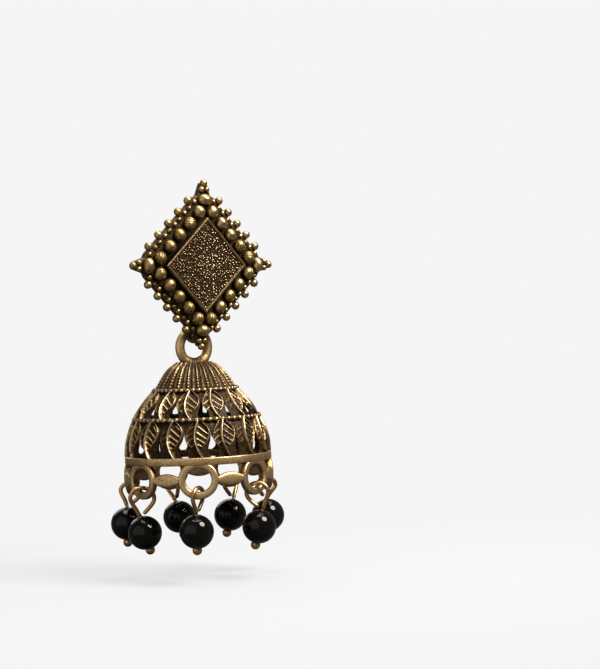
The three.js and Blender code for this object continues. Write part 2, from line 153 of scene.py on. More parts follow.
def soft_lamp(name, turn, height, distance, size, power):
    """An area lamp that looks at the middle of the earring.

    turn is in degrees round from the camera's side to the right; height is its angle
    above the horizon; distance and size are in millimetres.
    """
    lamp = bpy.data.lights.new(name, "AREA")
    lamp.shape = "DISK"
    lamp.size = size * MM
    lamp.energy = power
    around = camera_turn + math.radians(turn)
    up = math.radians(height)
    out = Vector(
        (math.sin(around) * math.cos(up), -math.cos(around) * math.cos(up), math.sin(up))
    )
    middle = Vector((0, hinge[1], hinge[2] - lamps_aim_below_hinge)) * MM
    holder = bpy.data.objects.new(name, lamp)
    holder.location = middle + out * distance * MM
    holder.rotation_euler = out.to_track_quat("Z", "Y").to_euler()
    bpy.context.collection.objects.link(holder)


soft_lamp("key", turn=56, height=47, distance=420, size=230, power=5.0)
soft_lamp("fill", turn=-45, height=5, distance=700, size=1300, power=3.2)
soft_lamp("overhead", turn=175, height=84, distance=420, size=340, power=2.3)
soft_lamp("rim_lamp", turn=-160, height=30, distance=480, size=400, power=0.8)

floor_gap = 5.0
floor_solid_radius = 45.0
floor_fade_radius = 120.0
paper_glow = 0.77
paper_grey = "#4a4a4a"

floor_height = cad_box[0].z / MM - floor_gap
corner = 2 * floor_fade_radius
corners = ((-corner, -corner), (corner, -corner), (corner, corner), (-corner, corner))
floor_mesh = bpy.data.meshes.new("floor")
floor_mesh.from_pydata(
    [(x * MM, y * MM, floor_height * MM) for x, y in corners], [], [(0, 1, 2, 3)]
)
floor = bpy.data.objects.new("floor", floor_mesh)
bpy.context.collection.objects.link(floor)


def new_material(name):
    """A material with no surface yet: itself, its node tree and a point's place on its mesh."""
    material = bpy.data.materials.new(name)
    material.use_nodes = True
    tree = material.node_tree
    tree.nodes.clear()
    return material, tree, add_node(tree, "ShaderNodeTexCoord").outputs["Object"]


def mapped(tree, value, span=(0.0, 1.0), onto=(0.0, 1.0), smooth=False):
    """A value's place in one span carried onto another, and held at its ends."""
    settings = {"interpolation_type": "SMOOTHSTEP" if smooth else "LINEAR"}
    ends = {"From_Min": span[0], "From_Max": span[1], "To_Min": onto[0], "To_Max": onto[1]}
    return add_node(tree, "ShaderNodeMapRange", settings, Value=value, **ends).outputs["Result"]


def maths(tree, operation, *values):
    """The result of a math node, its values in the order of its sockets."""
    inputs = {f"in_{k}": value for k, value in enumerate(values)}
    return add_node(tree, "ShaderNodeMath", {"operation": operation}, **inputs).outputs[0]


paper, tree, spot = new_material("white_paper")
under_earring = (0, hinge[1] * MM, floor_height * MM)
away = add_node(
    tree, "ShaderNodeVectorMath", {"operation": "DISTANCE"}, in_0=spot, in_1=under_earring
)
fade_span = (floor_solid_radius * MM, floor_fade_radius * MM)
fading = mapped(tree, away.outputs["Value"], fade_span, smooth=True)
paper_face = add_node(tree, "ShaderNodeBsdfDiffuse", Color=linear(paper_grey))
seen_by_lens = add_node(tree, "ShaderNodeLightPath").outputs["Is Camera Ray"]
lit_through = maths(tree, "MULTIPLY", seen_by_lens, paper_glow)
glow = add_node(tree, "ShaderNodeEmission", Color=backdrop_colour, Strength=lit_through)
glowing = add_node(tree, "ShaderNodeAddShader", in_0=paper_face.outputs[0], in_1=glow.outputs[0])
nothing = add_node(tree, "ShaderNodeBsdfTransparent")
paper_mix = mix_shaders(tree, fading, glowing, nothing)
add_node(tree, "ShaderNodeOutputMaterial", Surface=paper_mix)
floor_mesh.materials.append(paper)


# Loop on top of the bell
# A ring of stout brass wire, cast in one with the cap. Its foot swells where it runs into the
# cap, and handling has polished it along its outside while the inside stays brown.


def skin(points, worn=0.5, ring=False):
    """One closed skin over a grid of points, as (points, worn values, quads, triangles).

    The grid's columns join up round each row. Its rows join up as well in a ring; otherwise a
    fan of triangles to the middle of the first and the last row closes each end.
    """
    rows, columns = points.shape[:2]
    number = np.arange(rows * columns).reshape(rows, columns)
    beside = np.roll(number, -1, axis=1)
    below, next_below = np.roll(number, -1, axis=0), np.roll(beside, -1, axis=0)
    quads = np.stack([number, below, next_below, beside], axis=-1)
    quads = quads[: rows if ring else rows - 1].reshape(-1, 4)
    flat, values = points.reshape(-1, 3), np.broadcast_to(worn, (rows, columns))
    if ring:
        return flat, values.reshape(-1), quads, np.empty((0, 3), int)
    middles, ends = points[[0, -1]].mean(axis=1), values[[0, -1]].mean(axis=1)
    first, last = np.full(columns, len(flat)), np.full(columns, len(flat) + 1)
    caps = ((first, number[0], beside[0]), (last, beside[-1], number[-1]))
    fans = np.concatenate([np.stack(cap, axis=-1) for cap in caps])
    return np.concatenate([flat, middles]), np.append(values, ends), quads, fans


def fill_mesh(name, skins):
    """A mesh of several closed skins, in metres, with their worn values as an attribute.

    Each skin's corners are numbered on from the last one's. A skin whose volume comes out
    negative by the divergence formula has its faces turned round.
    """
    start = 0
    points, worn, quads, fans = [], [], [], []
    for flat, values, four, three in skins:
        split = np.concatenate([four[:, :3], four[:, [0, 2, 3]], three])
        a, b, c = (flat[split[:, k]] for k in range(3))
        if np.einsum("ij,ij->i", a, np.cross(b, c)).sum() < 0:
            four, three = four[:, ::-1], three[:, ::-1]
        points.append(flat)
        worn.append(values)
        quads.append(four + start)
        fans.append(three + start)
        start += len(flat)
    faces = np.concatenate(quads).tolist() + np.concatenate(fans).tolist()
    mesh = bpy.data.meshes.new(name)
    mesh.from_pydata((np.concatenate(points) * MM).tolist(), [], faces, shade_flat=False)
    mesh.validate()
    layer = mesh.attributes.new("worn", "FLOAT", "POINT")
    layer.data.foreach_set("value", np.clip(np.concatenate(worn), 0, 1).astype(np.float32))
    return mesh


def add_piece(name, skins, material, body, nodes):
    """A finished piece on its body, standing for its CAD nodes, with its slot's finish."""
    mesh = fill_mesh(name, skins)
    mesh.materials.append(material)
    piece = bpy.data.objects.new(name, mesh)
    bpy.context.collection.objects.link(piece)
    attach(piece, body)
    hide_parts(*nodes)


def add_casting(name, skins, material, body):
    """A brass piece of the stud or the bell, each of which is one casting and one CAD node."""
    node = {"stud": "stud_plate", "bell": "bell"}[body]
    add_piece(name, skins, material, body, nodes=[node])


def turns(count, start=0.0):
    """count angles spread evenly round a circle."""
    return start + np.arange(count) * 2 * np.pi / count


def grid(x, y, z):
    """Points from three coordinates that are spread to one common shape."""
    return np.stack(np.broadcast_arrays(x, y, z), axis=-1)


def smooth_step(low, high, value):
    """0 below low, 1 above high, and 3t^2 - 2t^3 between them."""
    t = np.clip((value - low) / (high - low), 0, 1)
    return t * t * (3 - 2 * t)


def noise(tree, where, size, detail, **more):
    """Noise whose features are about size millimetres across."""
    inputs = {"Vector": where, "Scale": 1 / (size * MM), "Detail": detail, **more}
    return add_node(tree, "ShaderNodeTexNoise", **inputs).outputs["Fac"]


def ramp(tree, factor, *stops):
    """The colour that a factor finds between stops, each a position and a "#rrggbb"."""
    node = add_node(tree, "ShaderNodeValToRGB", Fac=factor)
    elements = node.color_ramp.elements
    for k, (position, colour) in enumerate(stops):
        stop = elements[k] if k < 2 else elements.new(position)
        stop.position = position
        stop.color = linear(colour)
    return node.outputs["Color"]


def bumped(tree, height, strength, depth):
    """The normal of a surface that rises by depth, in millimetres, where the height is 1."""
    inputs = {"Strength": strength, "Distance": depth * MM, "Height": height}
    return add_node(tree, "ShaderNodeBump", **inputs).outputs["Normal"]


def surfaced(material, tree, **inputs):
    """Gives a material its one principled surface."""
    surface = add_node(tree, "ShaderNodeBsdfPrincipled", **inputs)
    add_node(tree, "ShaderNodeOutputMaterial", Surface=surface.outputs[0])
    return material


blotch_size = 2.2
blotch_tint = "#d4ceb2"
grain_share = 0.95
hollow_reach = 0.9
hollow_span = (0.25, 0.8)
hollow_wear = (-0.32, 0.06)
pit_span = (0.08, 0.2)
pit_wear = (-0.7, 0.0)
brass_span = (0.55, 1.4)
middle_stop = 0.42
metal_span = (0.0, 0.5)
patina_metal = 0.35
patina_gloss = 0.15
patina_roughness = 0.25
casting_bump = 0.06


def antique_brass(name, bright, middle, dark, grain_mm, pit_mm, roughness):
    """Cast brass with a dark patina, rubbed bright where it stands proud.

    The patina keeps to hollows, which the worn attribute and ambient occlusion find; what is
    rubbed shows brass of two tones in soft blotches, with fine casting grain as bump and small
    dark pits, one to a cell pit_mm across. The patina is an oxide, so it is less metallic.
    """
    material, tree, where = new_material(name)
    # On the stud the worn values also hold painted light: grains and bosses to the right are
    # painted brighter
    worn = add_node(tree, "ShaderNodeAttribute", {"attribute_name": "worn"}).outputs["Fac"]
    blotch = noise(tree, where, blotch_size, 3.0, Roughness=0.6)
    grain = noise(tree, where, grain_mm, 4.0)
    air = add_node(
        tree, "ShaderNodeAmbientOcclusion", {"samples": 8}, Distance=hollow_reach * MM
    ).outputs["AO"]
    rubbed = maths(tree, "ADD", worn, mapped(tree, air, hollow_span, hollow_wear))
    pit = add_node(tree, "ShaderNodeTexVoronoi", Vector=where, Scale=1 / (pit_mm * MM))
    pitted = mapped(tree, pit.outputs["Distance"], pit_span, pit_wear)
    whole = maths(tree, "ADD", rubbed, pitted)
    grained = maths(tree, "MULTIPLY_ADD", grain, grain_share, whole)
    shown = mapped(tree, grained, brass_span)
    tinted = add_node(
        tree,
        "ShaderNodeMix",
        {"data_type": "RGBA", "blend_type": "MULTIPLY"},
        in_0=blotch,
        in_6=ramp(tree, shown, (0.0, dark), (middle_stop, middle), (1.0, bright)),
        in_7=linear(blotch_tint),
    ).outputs[2]
    return surfaced(
        material,
        tree,
        Base_Color=tinted,
        Metallic=mapped(tree, shown, metal_span, (patina_metal, 1.0)),
        Specular_IOR_Level=patina_gloss,
        Roughness=mapped(tree, shown, onto=(roughness + patina_roughness, roughness)),
        Normal=bumped(tree, grained, 0.5, casting_bump),
    )


loop_radius = 3.0
loop_wire = 0.85
loop_foot_swell = 0.22
swell_from = 0.55
ring_foot_from = 0.6
ring_wear = 0.62
ring_outer_wear = 0.3
ring_foot_darkening = 0.35
polished_cast = antique_brass(
    "polished_cast_brass", "#ceb088", "#8a6d3f", "#2a1606", 0.4, pit_mm=0.75, roughness=0.4
)


def ring_of_wire(radius, wire, axis, swell=0.0, rows=96, columns=24):
    """A torus in the plane across the given axis, its wire swollen at the lowest point.

    A point stands at the ring's radius plus wire x cos(b) out and wire x sin(b) along the axis,
    and is worn where it faces away from the hole, but dark at the ring's lowest point.
    """
    a, b = turns(rows)[:, None], turns(columns)[None, :]
    thick = wire + swell * smooth_step(swell_from, 1.0, -np.sin(a))
    out = radius + thick * np.cos(b)
    along = thick * np.sin(b)
    wide, tall = out * np.cos(a), out * np.sin(a)
    points = grid(along, wide, tall) if axis == "x" else grid(wide, along, tall)
    # The ring is darker towards its lowest point
    foot = smooth_step(ring_foot_from, 1, -np.sin(a))
    return points, ring_wear + ring_outer_wear * np.cos(b) - ring_foot_darkening * foot


def on_bell(points):
    """Carries points measured from the swing axis to where the bell hangs."""
    return points + hinge


loop_points, loop_worn = ring_of_wire(loop_radius, loop_wire, "y", loop_foot_swell)
loop_points = on_bell(loop_points - [0, 0, loop_radius])
add_casting("bell_loop", [skin(loop_points, loop_worn, ring=True)], polished_cast, "bell")


# Cap of the bell
# A small dome with 24 narrow ribs that turn to rows of milgrain beads lower down. Between each
# two lies a broad low ridge, brown, with a black groove to either side.

bell_radius = 12.9
bell_height = 17.9
bell_wall = 0.85
loop_sink = 0.35
flute_count = 24
flute_depth = 0.45
flute_full_radius = 5.0
rib_width = 0.15
ridge_width = 0.17
ridge_rise = 0.55
milgrain_pitch = 0.6
milgrain_relief = 0.2
milgrain_from = 0.3
milgrain_full = 0.75
cap_rows = 110
columns_per_flute = 18
rib_wear = 0.85
ridge_wear = 0.6
inside_wear = 0.25
outline_blur = 0.025
cap_top = 2 * loop_radius - loop_sink
upper_band_down = 0.275
middle_band_down = 0.559
band_overlap = 0.011
dome_down = [0, 0.039, 0.1, 0.18, 0.29, 0.363, 0.447, 0.525, 0.654, 0.788, 0.93, 1]
dome_out = [0.245, 0.349, 0.428, 0.505, 0.592, 0.693, 0.783, 0.85, 0.93, 0.983, 1, 1]

relief_cast = antique_brass(
    "relief_cast_brass", "#bba686", "#6e5430", "#231505", 0.35, pit_mm=1.3, roughness=0.32
)


def dome_radius(down):
    """The dome's radius at shares of its height down: its outline's mean over a short stretch."""
    window = np.linspace(-outline_blur, outline_blur, 9)
    stretch = np.clip(np.asarray(down)[..., None] + window, 0, 1)
    return bell_radius * np.interp(stretch, dome_down, dome_out).mean(axis=-1)


def height_at(down):
    """The height at shares of the dome's height down, measured from the swing axis."""
    return -cap_top - down * bell_height


def round_about(radius, turn, height):
    """Points at a radius and a turn from the front, clockwise seen from below, at a height."""
    return grid(radius * np.sin(turn), -radius * np.cos(turn), height)


def hump(value, width):
    """A bell curve: 1 at 0, falling off by exp(-(value / width)^2)."""
    return np.exp(-((value / width) ** 2))


def fluted_cap():
    """A turned dome whose radius falls by the flute depth between ribs.

    A rib and the ridge beside it are bell curves of the turn over the rib pitch; beads are |sin|
    of the way down over the milgrain pitch. A plain turned hollow inside closes the skin.
    """
    down = np.linspace(0, upper_band_down + band_overlap, cap_rows)[:, None]
    turn = turns(flute_count * columns_per_flute)[None, :]
    radius = dome_radius(down)
    step = np.hypot(np.diff(radius, axis=0), np.diff(down, axis=0) * bell_height)
    way = np.concatenate([[[0.0]], np.cumsum(step, axis=0)])
    phase = flute_count * turn / (2 * np.pi)
    from_rib = np.abs(phase - np.round(phase))
    rib = hump(from_rib, rib_width)
    ridge = ridge_rise * hump(0.5 - from_rib, ridge_width)
    beaded = smooth_step(milgrain_from, milgrain_full, way / way[-1])
    gap = beaded * (1 - np.abs(np.sin(np.pi * way / milgrain_pitch)) ** 0.8)
    narrow = np.minimum(1, radius / flute_full_radius)
    depth = flute_depth * narrow * (1 - np.maximum(rib, ridge)) + milgrain_relief * rib * gap
    outside = round_about(radius - depth, turn, height_at(down))
    worn = np.maximum(rib**1.5 * (rib_wear - 0.7 * gap), ridge_wear * ridge) - 0.1
    back_up = down[::-8]
    hollow = dome_radius(back_up) - bell_wall
    inside = round_about(hollow, turn, height_at(back_up) - bell_wall / 2)
    inside[0, :, 2] = outside[-1, 0, 2]
    plain = np.full(inside.shape[:2], inside_wear)
    return np.concatenate([outside, inside]), np.concatenate([worn, plain])


cap_points, cap_worn = fluted_cap()
add_casting("bell_cap", [skin(on_bell(cap_points), cap_worn)], relief_cast, "bell")


# Beaded bands
# Two rounds of cast granules, one at the foot of the cap and one between the tiers of leaves,
# each row sitting on a plain wire. Their crowns are rubbed bright and their gaps are black.

upper_bead_count = 46
upper_bead_radius = 0.42
middle_bead_count = 60
middle_bead_radius = 0.45
band_bead_standout = 0.05
band_wire = 0.34
band_wire_sink = 0.08
band_wire_wear = 0.12
first_bead_turn = 0.03
bead_foot_wear = 0.05
bead_crown_wear = 0.8


def granule(radius, rows=9, columns=14):
    """A small ball about its centre: rows of latitude between its two closed ends."""
    up = np.linspace(-np.pi / 2, np.pi / 2, rows + 2)[1:-1, None]
    turn = turns(columns)[None, :]
    return grid(np.cos(up) * np.cos(turn), np.cos(up) * np.sin(turn), np.sin(up)) * radius


def beaded_band(down, count, radius):
    """A wire round the dome with count granules on it, worn where they face outwards."""
    ring_radius, height = dome_radius(down) - band_wire_sink, height_at(down)
    a, b = turns(4 * count)[:, None], turns(12)[None, :]
    wire = round_about(ring_radius + band_wire * np.cos(b), a, height + band_wire * np.sin(b))
    made = [skin(on_bell(wire), band_wire_wear + 0.1 * np.cos(b), ring=True)]
    for turn in turns(count, first_bead_turn):
        out = np.array([math.sin(turn), -math.cos(turn), 0])
        ball = granule(radius)
        worn = bead_foot_wear + bead_crown_wear * smooth_step(0.3, 0.95, (ball @ out) / radius)
        centre = out * (ring_radius + band_bead_standout) + [0, 0, height]
        made.append(skin(on_bell(ball + centre), worn))
    return made


upper_band = beaded_band(upper_band_down, upper_bead_count, upper_bead_radius)
middle_band = beaded_band(middle_band_down, middle_bead_count, middle_bead_radius)
add_casting("bell_beaded_bands", upper_band + middle_band, relief_cast, "bell")


# Leaves
# Two tiers of cast leaves stand round the bell. Each has a stout rubbed midrib, a thin raised
# edge and raised veins on a black web, and the air is cut through between the leaves' feet.

upper_leaf_count = 13
lower_leaf_count = 16
upper_leaf_turn = -43
lower_leaf_turn = -34
rib_rise = 0.45
rib_half_width = 0.27
edge_rise = 0.26
edge_width = 0.13
vein_rise = 0.26
vein_half_width = 0.12
vein_pitch = 1.05
vein_slope = 0.7
web_sink = 0.32
blade_thickness = 0.75
leaf_rows = 74
leaf_front_columns = 56
leaf_back_columns = 10
leaf_sink = 0.05
rib_taper = 0.35
left_relief = 0.6
right_relief = 0.9
relief_change = 0.3
web_share = 0.75
web_change = 0.45
web_wear = 0.1
edge_wear = 0.85
vein_wear = 0.95

# By share of its tier's height, in shares of the leaf pitch to either side: the black web, the
# leaf's outline on it, and its midrib
leaf_down = [0.0, 0.1, 0.2, 0.3, 0.42, 0.55, 0.66, 0.78, 0.9, 1.0]
web_left = [-0.5, -0.5, -0.5, -0.5, -0.49, -0.42, -0.33, -0.25, -0.25, -0.36]
web_right = [0.5, 0.5, 0.5, 0.5, 0.5, 0.46, 0.38, 0.32, 0.36, 0.5]
leaf_left = [0.03, -0.15, -0.28, -0.37, -0.43, -0.42, -0.3, -0.12, 0.03, 0.15]
leaf_right = [0.07, 0.23, 0.37, 0.44, 0.42, 0.34, 0.22, 0.12, 0.13, 0.19]
leaf_rib = [0.05, 0.0, -0.05, -0.09, -0.11, -0.1, -0.06, 0.0, 0.08, 0.17]


def leaf(top, bottom, turn, pitch, change):
    """A leaf as a section carried down the dome; change, from -1 to 1, varies it a little.

    The section's front runs from its left edge to its right one, and its back returns, so the
    two meet in closed edges. The front rises by a bell curve over the midrib, by a bell curve
    along each outline, and by one over each vein, a line that falls away from the midrib.
    """
    share = np.linspace(0, 1, leaf_rows)[:, None]
    down = top + share * (bottom - top)
    radius = dome_radius(down)
    sides = (web_left, web_right, leaf_left, leaf_right, leaf_rib)
    shares = [np.interp(share, leaf_down, side) for side in sides]
    shares[0] = -0.5 + (0.5 + shares[0]) * (web_share + web_change * change)
    shares[1] = 0.5 - (0.5 - shares[1]) * (web_share - web_change * change)
    left, right, edge_left, edge_right, rib = (side * pitch * radius for side in shares)
    fine = np.linspace(-1, 1, leaf_front_columns)[None, :]
    spread = np.sign(fine) * np.abs(fine) ** 0.9
    across = np.where(spread < 0, rib + (rib - left) * spread, rib + (right - rib) * spread)
    fall = share * (bottom - top) * bell_height
    from_rib = across - rib
    inward = np.minimum(across - edge_left, edge_right - across)
    on_leaf = smooth_step(-0.05, 0.1, inward)
    vein_line = (fall - vein_slope * np.abs(from_rib)) / vein_pitch + 0.5 * change
    to_vein = np.abs(vein_line - np.round(vein_line)) * vein_pitch * 0.82
    raised_rib = hump(from_rib, rib_half_width * (1.1 - rib_taper * share))
    side = np.where(from_rib < 0, left_relief + relief_change * change, right_relief)
    low_end = smooth_step(0.62, 0.8, share)
    raised_edge = hump(inward, edge_width) * side * (1 - 0.75 * low_end)
    veined = smooth_step(0.08, 0.2, share) * (1 - smooth_step(0.7, 0.8, share))
    raised_vein = hump(to_vein, vein_half_width) * on_leaf * side * veined
    lift = np.maximum(rib_rise * raised_rib, edge_rise * raised_edge)
    lift = np.maximum(lift, vein_rise * raised_vein)
    ends = smooth_step(0, 0.04, share) * (1 - smooth_step(0.96, 1, share))
    hollow = -web_sink * (1 - np.maximum(raised_rib, raised_edge)) * ends
    front_radius = radius + lift * (0.5 + 0.5 * ends) + hollow - leaf_sink
    front = round_about(front_radius, turn + across / radius, height_at(down))
    back_share = np.linspace(0.97, 0.03, leaf_back_columns)[None, :]
    back_turn = turn + (left + (right - left) * back_share) / radius
    back = round_about(radius - blade_thickness, back_turn, height_at(down))
    proud = np.maximum(np.maximum(raised_rib, edge_wear * raised_edge), vein_wear * raised_vein)
    worn = np.concatenate([proud**1.15, np.full(back.shape[:2], web_wear)], axis=1)
    return skin(on_bell(np.concatenate([front, back], axis=1)), worn)


def leaf_tier(top, bottom, count, first_turn):
    """count leaves side by side round the dome between two heights."""
    pitch = 2 * math.pi / count
    top, bottom = top - band_overlap, bottom + band_overlap
    return [
        leaf(top, bottom, math.radians(first_turn) + i * pitch, pitch, math.sin(2.4 * i))
        for i in range(count)
    ]


rim_band_height = 1.35
rim_top = 1 - rim_band_height / bell_height
upper = leaf_tier(upper_band_down, middle_band_down, upper_leaf_count, upper_leaf_turn)
lower = leaf_tier(middle_band_down, rim_top, lower_leaf_count, lower_leaf_turn)
add_casting("bell_upper_leaves", upper, relief_cast, "bell")
add_casting("bell_lower_leaves", lower, relief_cast, "bell")


# Rim band
# A plain flat hoop round the mouth of the bell, rubbed nearly clean, a little uneven from the
# casting mould, with small dark pits.

rim_standout = 0.3
rim_corner = 0.16
rim_points = 360
rim_waves = ((0.02, 7, 1), (0.015, 19, 0), (0.01, 43, 2))
rim_wear = 0.4
rim_face_wear = 0.38
rim_darker_below = 0.3


def rounded_box(half_out, half_up, corner, per_corner=5):
    """Points round a rectangle with round corners, as (out, up) from its middle."""
    quarter = np.linspace(0, np.pi / 2, per_corner)
    points = []
    for k, (sx, sy) in enumerate(((1, 1), (-1, 1), (-1, -1), (1, -1))):
        angle = quarter + k * np.pi / 2
        centre = ((half_out - corner) * sx, (half_up - corner) * sy)
        points.append(np.stack([np.cos(angle), np.sin(angle)], axis=-1) * corner + centre)
    return np.concatenate(points)


def rim_band():
    """A rounded box carried round the dome's axis, its outer face waved by three sines."""
    outer, inner = bell_radius + rim_standout, bell_radius - bell_wall
    section = rounded_box((outer - inner) / 2, rim_band_height / 2, rim_corner)
    turn = turns(rim_points)[:, None]
    wave = sum(rise * np.sin(count * turn + start) for rise, count, start in rim_waves)
    out = (outer + inner) / 2 + section[:, 0] + wave
    up = section[:, 1] - cap_top - bell_height + rim_band_height / 2 + 0.5 * wave
    worn = rim_wear + rim_face_wear * smooth_step(-0.1, 0.3, section[:, 0])
    # The band is darker towards its bottom
    worn = worn - rim_darker_below * smooth_step(0.1, 0.6, -section[:, 1])
    return skin(on_bell(round_about(out, turn, up)), worn, ring=True)


add_casting("bell_rim", [rim_band()], polished_cast, "bell")


# Gallery
# Seven flat-faced oval rings stand on edge under the rim, joined by pointed ovals like small
# seeds. They are cast with the bell and rubbed bright on their faces.

drop_count = 7
gallery_turn = -34.5
ring_across = 2.9
ring_tall = 2.72
ring_band = 0.65
ring_depth = 0.65
ring_sink = 0.85
ring_inset = 0.1
ring_wobble = 0.02
ring_points = 72
ring_sides = 28
squareness = 3.2
gallery_face_wear = 0.34
oval_half_height = 1.2
oval_end_half_height = 0.45
oval_thickness = 1.1
oval_overlap = 0.3
gallery_radius = bell_radius + rim_standout - ring_inset - ring_depth
gallery_centre = cap_top + bell_height - ring_sink + ring_tall + ring_band


def soft_corner(angle):
    """The cosine and sine of a squared-off circle: each to the power 2/squareness, sign kept."""
    across, up = np.cos(angle), np.sin(angle)
    return [np.sign(v) * np.abs(v) ** (2 / squareness) for v in (across, up)]


def turned(points, angle, first, second):
    """Turns points by an angle from one axis towards another, each 0 for X, 1 for Y, 2 for Z."""
    c, s = math.cos(angle), math.sin(angle)
    made = np.array(points, float)
    made[..., first] = points[..., first] * c - points[..., second] * s
    made[..., second] = points[..., first] * s + points[..., second] * c
    return made


def in_gallery(points, index):
    """Carries points made at the front of the gallery to its place number index."""
    angle = math.radians(gallery_turn) + index * 2 * math.pi / drop_count
    return on_bell(turned(points, angle, 0, 1))


def gallery_ring(index):
    """A squared-off band whose middle line is an oval: out by its own normal, deep along Y."""
    a, b = turns(ring_points)[:, None], turns(ring_sides)[None, :]
    wide, deep = soft_corner(b)
    band = ring_band * (1 + ring_wobble * np.sin(3 * a + index))
    out = ring_across + band * wide
    x, z = out * np.cos(a), (out + ring_tall - ring_across) * np.sin(a)
    points = grid(x, -gallery_radius + ring_depth * deep, z - gallery_centre)
    worn = 0.5 + gallery_face_wear * smooth_step(0.2, 0.9, np.abs(deep))
    worn = worn - 0.15 * smooth_step(0.3, 1, -wide)
    return skin(in_gallery(points, index), worn, ring=True)


def gallery_oval(index):
    """A seed shape along X: its half-height is a parabola, its section a squared-off circle."""
    half_angle = math.pi / drop_count
    ring_out = ring_across + ring_band
    half_length = gallery_radius * math.sin(half_angle) - ring_out * math.cos(half_angle)
    half_length += oval_overlap
    middle = gallery_radius * math.cos(half_angle) + ring_out * math.sin(half_angle)
    along, b = np.linspace(-1, 1, 40)[:, None], turns(ring_sides)[None, :]
    tall, deep = soft_corner(b)
    belly = 1 - along**2
    half = oval_end_half_height + (oval_half_height - oval_end_half_height) * belly
    half_deep = oval_thickness / 2 * (0.8 + 0.2 * belly)
    points = grid(half_length * along, -middle - half_deep * deep, half * tall - gallery_centre)
    worn = 0.38 + gallery_face_wear * smooth_step(0.3, 1, np.abs(deep))
    return skin(in_gallery(points, index + 0.5), worn)


gallery = [gallery_ring(i) for i in range(drop_count)]
gallery += [gallery_oval(i) for i in range(drop_count)]
add_casting("bell_gallery", gallery, polished_cast, "bell")


# Stud plate
# One casting, set cornerwise: a thin plate whose corners run out into spikes, a raised bed, and
# a framed square block. It is tipped forward a little by the weight of the bell.

plate_lean = math.radians(5.5)
plate_centre = -2.5
plate_thickness = 1.2
plate_half_side = 10.0
bed_half_side = 8.9
bed_rise = 0.2
panel_half_side = 6.05
panel_rise = 1.0
frame_width = 0.5
frame_rise = 0.25
bosses_per_side = 5
boss_radius = 1.15
boss_pitch = 2.87
boss_gap = 0.5
boss_lift = 0.4
edge_granule_radius = 0.74
edge_granule_standout = 0.5
small_granule_radius = 0.46
small_granule_inset = 1.05
small_granule_spread = 0.8
spike_reach = 14.6
spike_half_width = 1.35
spike_granule_radius = 0.55
boss_places = [(i - (bosses_per_side - 1) / 2) * boss_pitch for i in range(bosses_per_side)]
flange_face = -plate_thickness
bed_face = flange_face - bed_rise
panel_face = bed_face - panel_rise
boss_line = panel_half_side + boss_gap + boss_radius
granule_line = plate_half_side + edge_granule_standout
plate_points = 480
bed_points = 240
bed_back = -0.4
plate_wear = 0.12
bed_wear = 0.06


def on_stud(points):
    """Carries points measured from the plate's centre to the leaning plate."""
    return turned(points + [0, 0, plate_centre], plate_lean, 1, 2)


def on_diagonal(quarter, along, across):
    """(x, z) of a point by its way along and across the diagonal of one corner."""
    c, s = math.cos(quarter * math.pi / 2), math.sin(quarter * math.pi / 2)
    return np.stack([along * s + across * c, along * c - across * s], axis=-1)


def on_side(quarter, out, along):
    """(x, z) of a point by its way out from the centre and along one straight side."""
    return on_diagonal(quarter, (out + along) / math.sqrt(2), (out - along) / math.sqrt(2))


def evenly(outline, count):
    """count points at even distances along a closed outline, by the length run so far."""
    closed = np.concatenate([outline, outline[:1]])
    run = np.concatenate([[0], np.cumsum(np.hypot(*np.diff(closed, axis=0).T))])
    steps = np.arange(count) * run[-1] / count
    return np.stack([np.interp(steps, run, closed[:, k]) for k in (0, 1)], axis=-1)


def slab(outline, back, front, corner=0.12):
    """A flat plate: its outline scaled in towards the centre on both faces, edges rounded."""
    inset = corner / np.hypot(outline[:, 0], outline[:, 1]).max()
    steps = [(0.3, front), (0.7, front), (1 - 2 * inset, front)]
    steps += [(1 - 0.6 * inset, front + 0.3 * corner), (1, front + corner)]
    steps += [(1, back - corner), (1 - inset, back), (0.7, back), (0.3, back)]
    return np.stack([grid(outline[:, 0] * k, y, outline[:, 1] * k) for k, y in steps])


def plate_outline():
    """The plate's square with its four spikes, point by point from corner to corner."""
    side_end = boss_places[-1] + small_granule_spread + small_granule_radius
    foot = np.array([plate_half_side + side_end, plate_half_side - side_end]) / math.sqrt(2)
    neck = (spike_reach - 4 * spike_granule_radius, spike_half_width)
    right = [foot, neck, (spike_reach, 1.1 * spike_granule_radius)]
    spots = [(along, -across) for along, across in right] + right[::-1]
    return np.array([on_diagonal(quarter, *spot) for quarter in range(4) for spot in spots])


plate = slab(evenly(plate_outline(), plate_points), 0, flange_face)
bed_outline = np.array([on_side(quarter, bed_half_side, bed_half_side) for quarter in range(4)])
bed = slab(evenly(bed_outline, bed_points), bed_back, bed_face)
plate_skins = [skin(on_stud(plate), plate_wear), skin(on_stud(bed), bed_wear)]
add_casting("stud_base", plate_skins, relief_cast, "stud")


# Framed panel
# The block in the middle of the plate. A thin dull frame stands round a dark field strewn with
# grains of brass, a third of a millimetre across, round a small star of the same. The strewn
# grains are painted brighter towards the right: painted light from that side.

panel_steps = 264
grain_pitch = 0.5
grain_radius = 0.16
grain_shift = 0.32
grain_size_change = 0.45
grain_seed = 4
star_rings = ((0.0, 1), (0.5, 4), (0.95, 4), (1.45, 12))
frame_bevel = 0.12
frame_wear = 0.5
grain_wear = 0.95
least_grain = 0.08


def ball_height(x, z, middle_x, middle_z, radius):
    """How high a ball stands over its middle plane at x and z, 0 outside it."""
    away = (x - middle_x) ** 2 + (z - middle_z) ** 2
    return np.sqrt(np.maximum(radius**2 - away, 0))


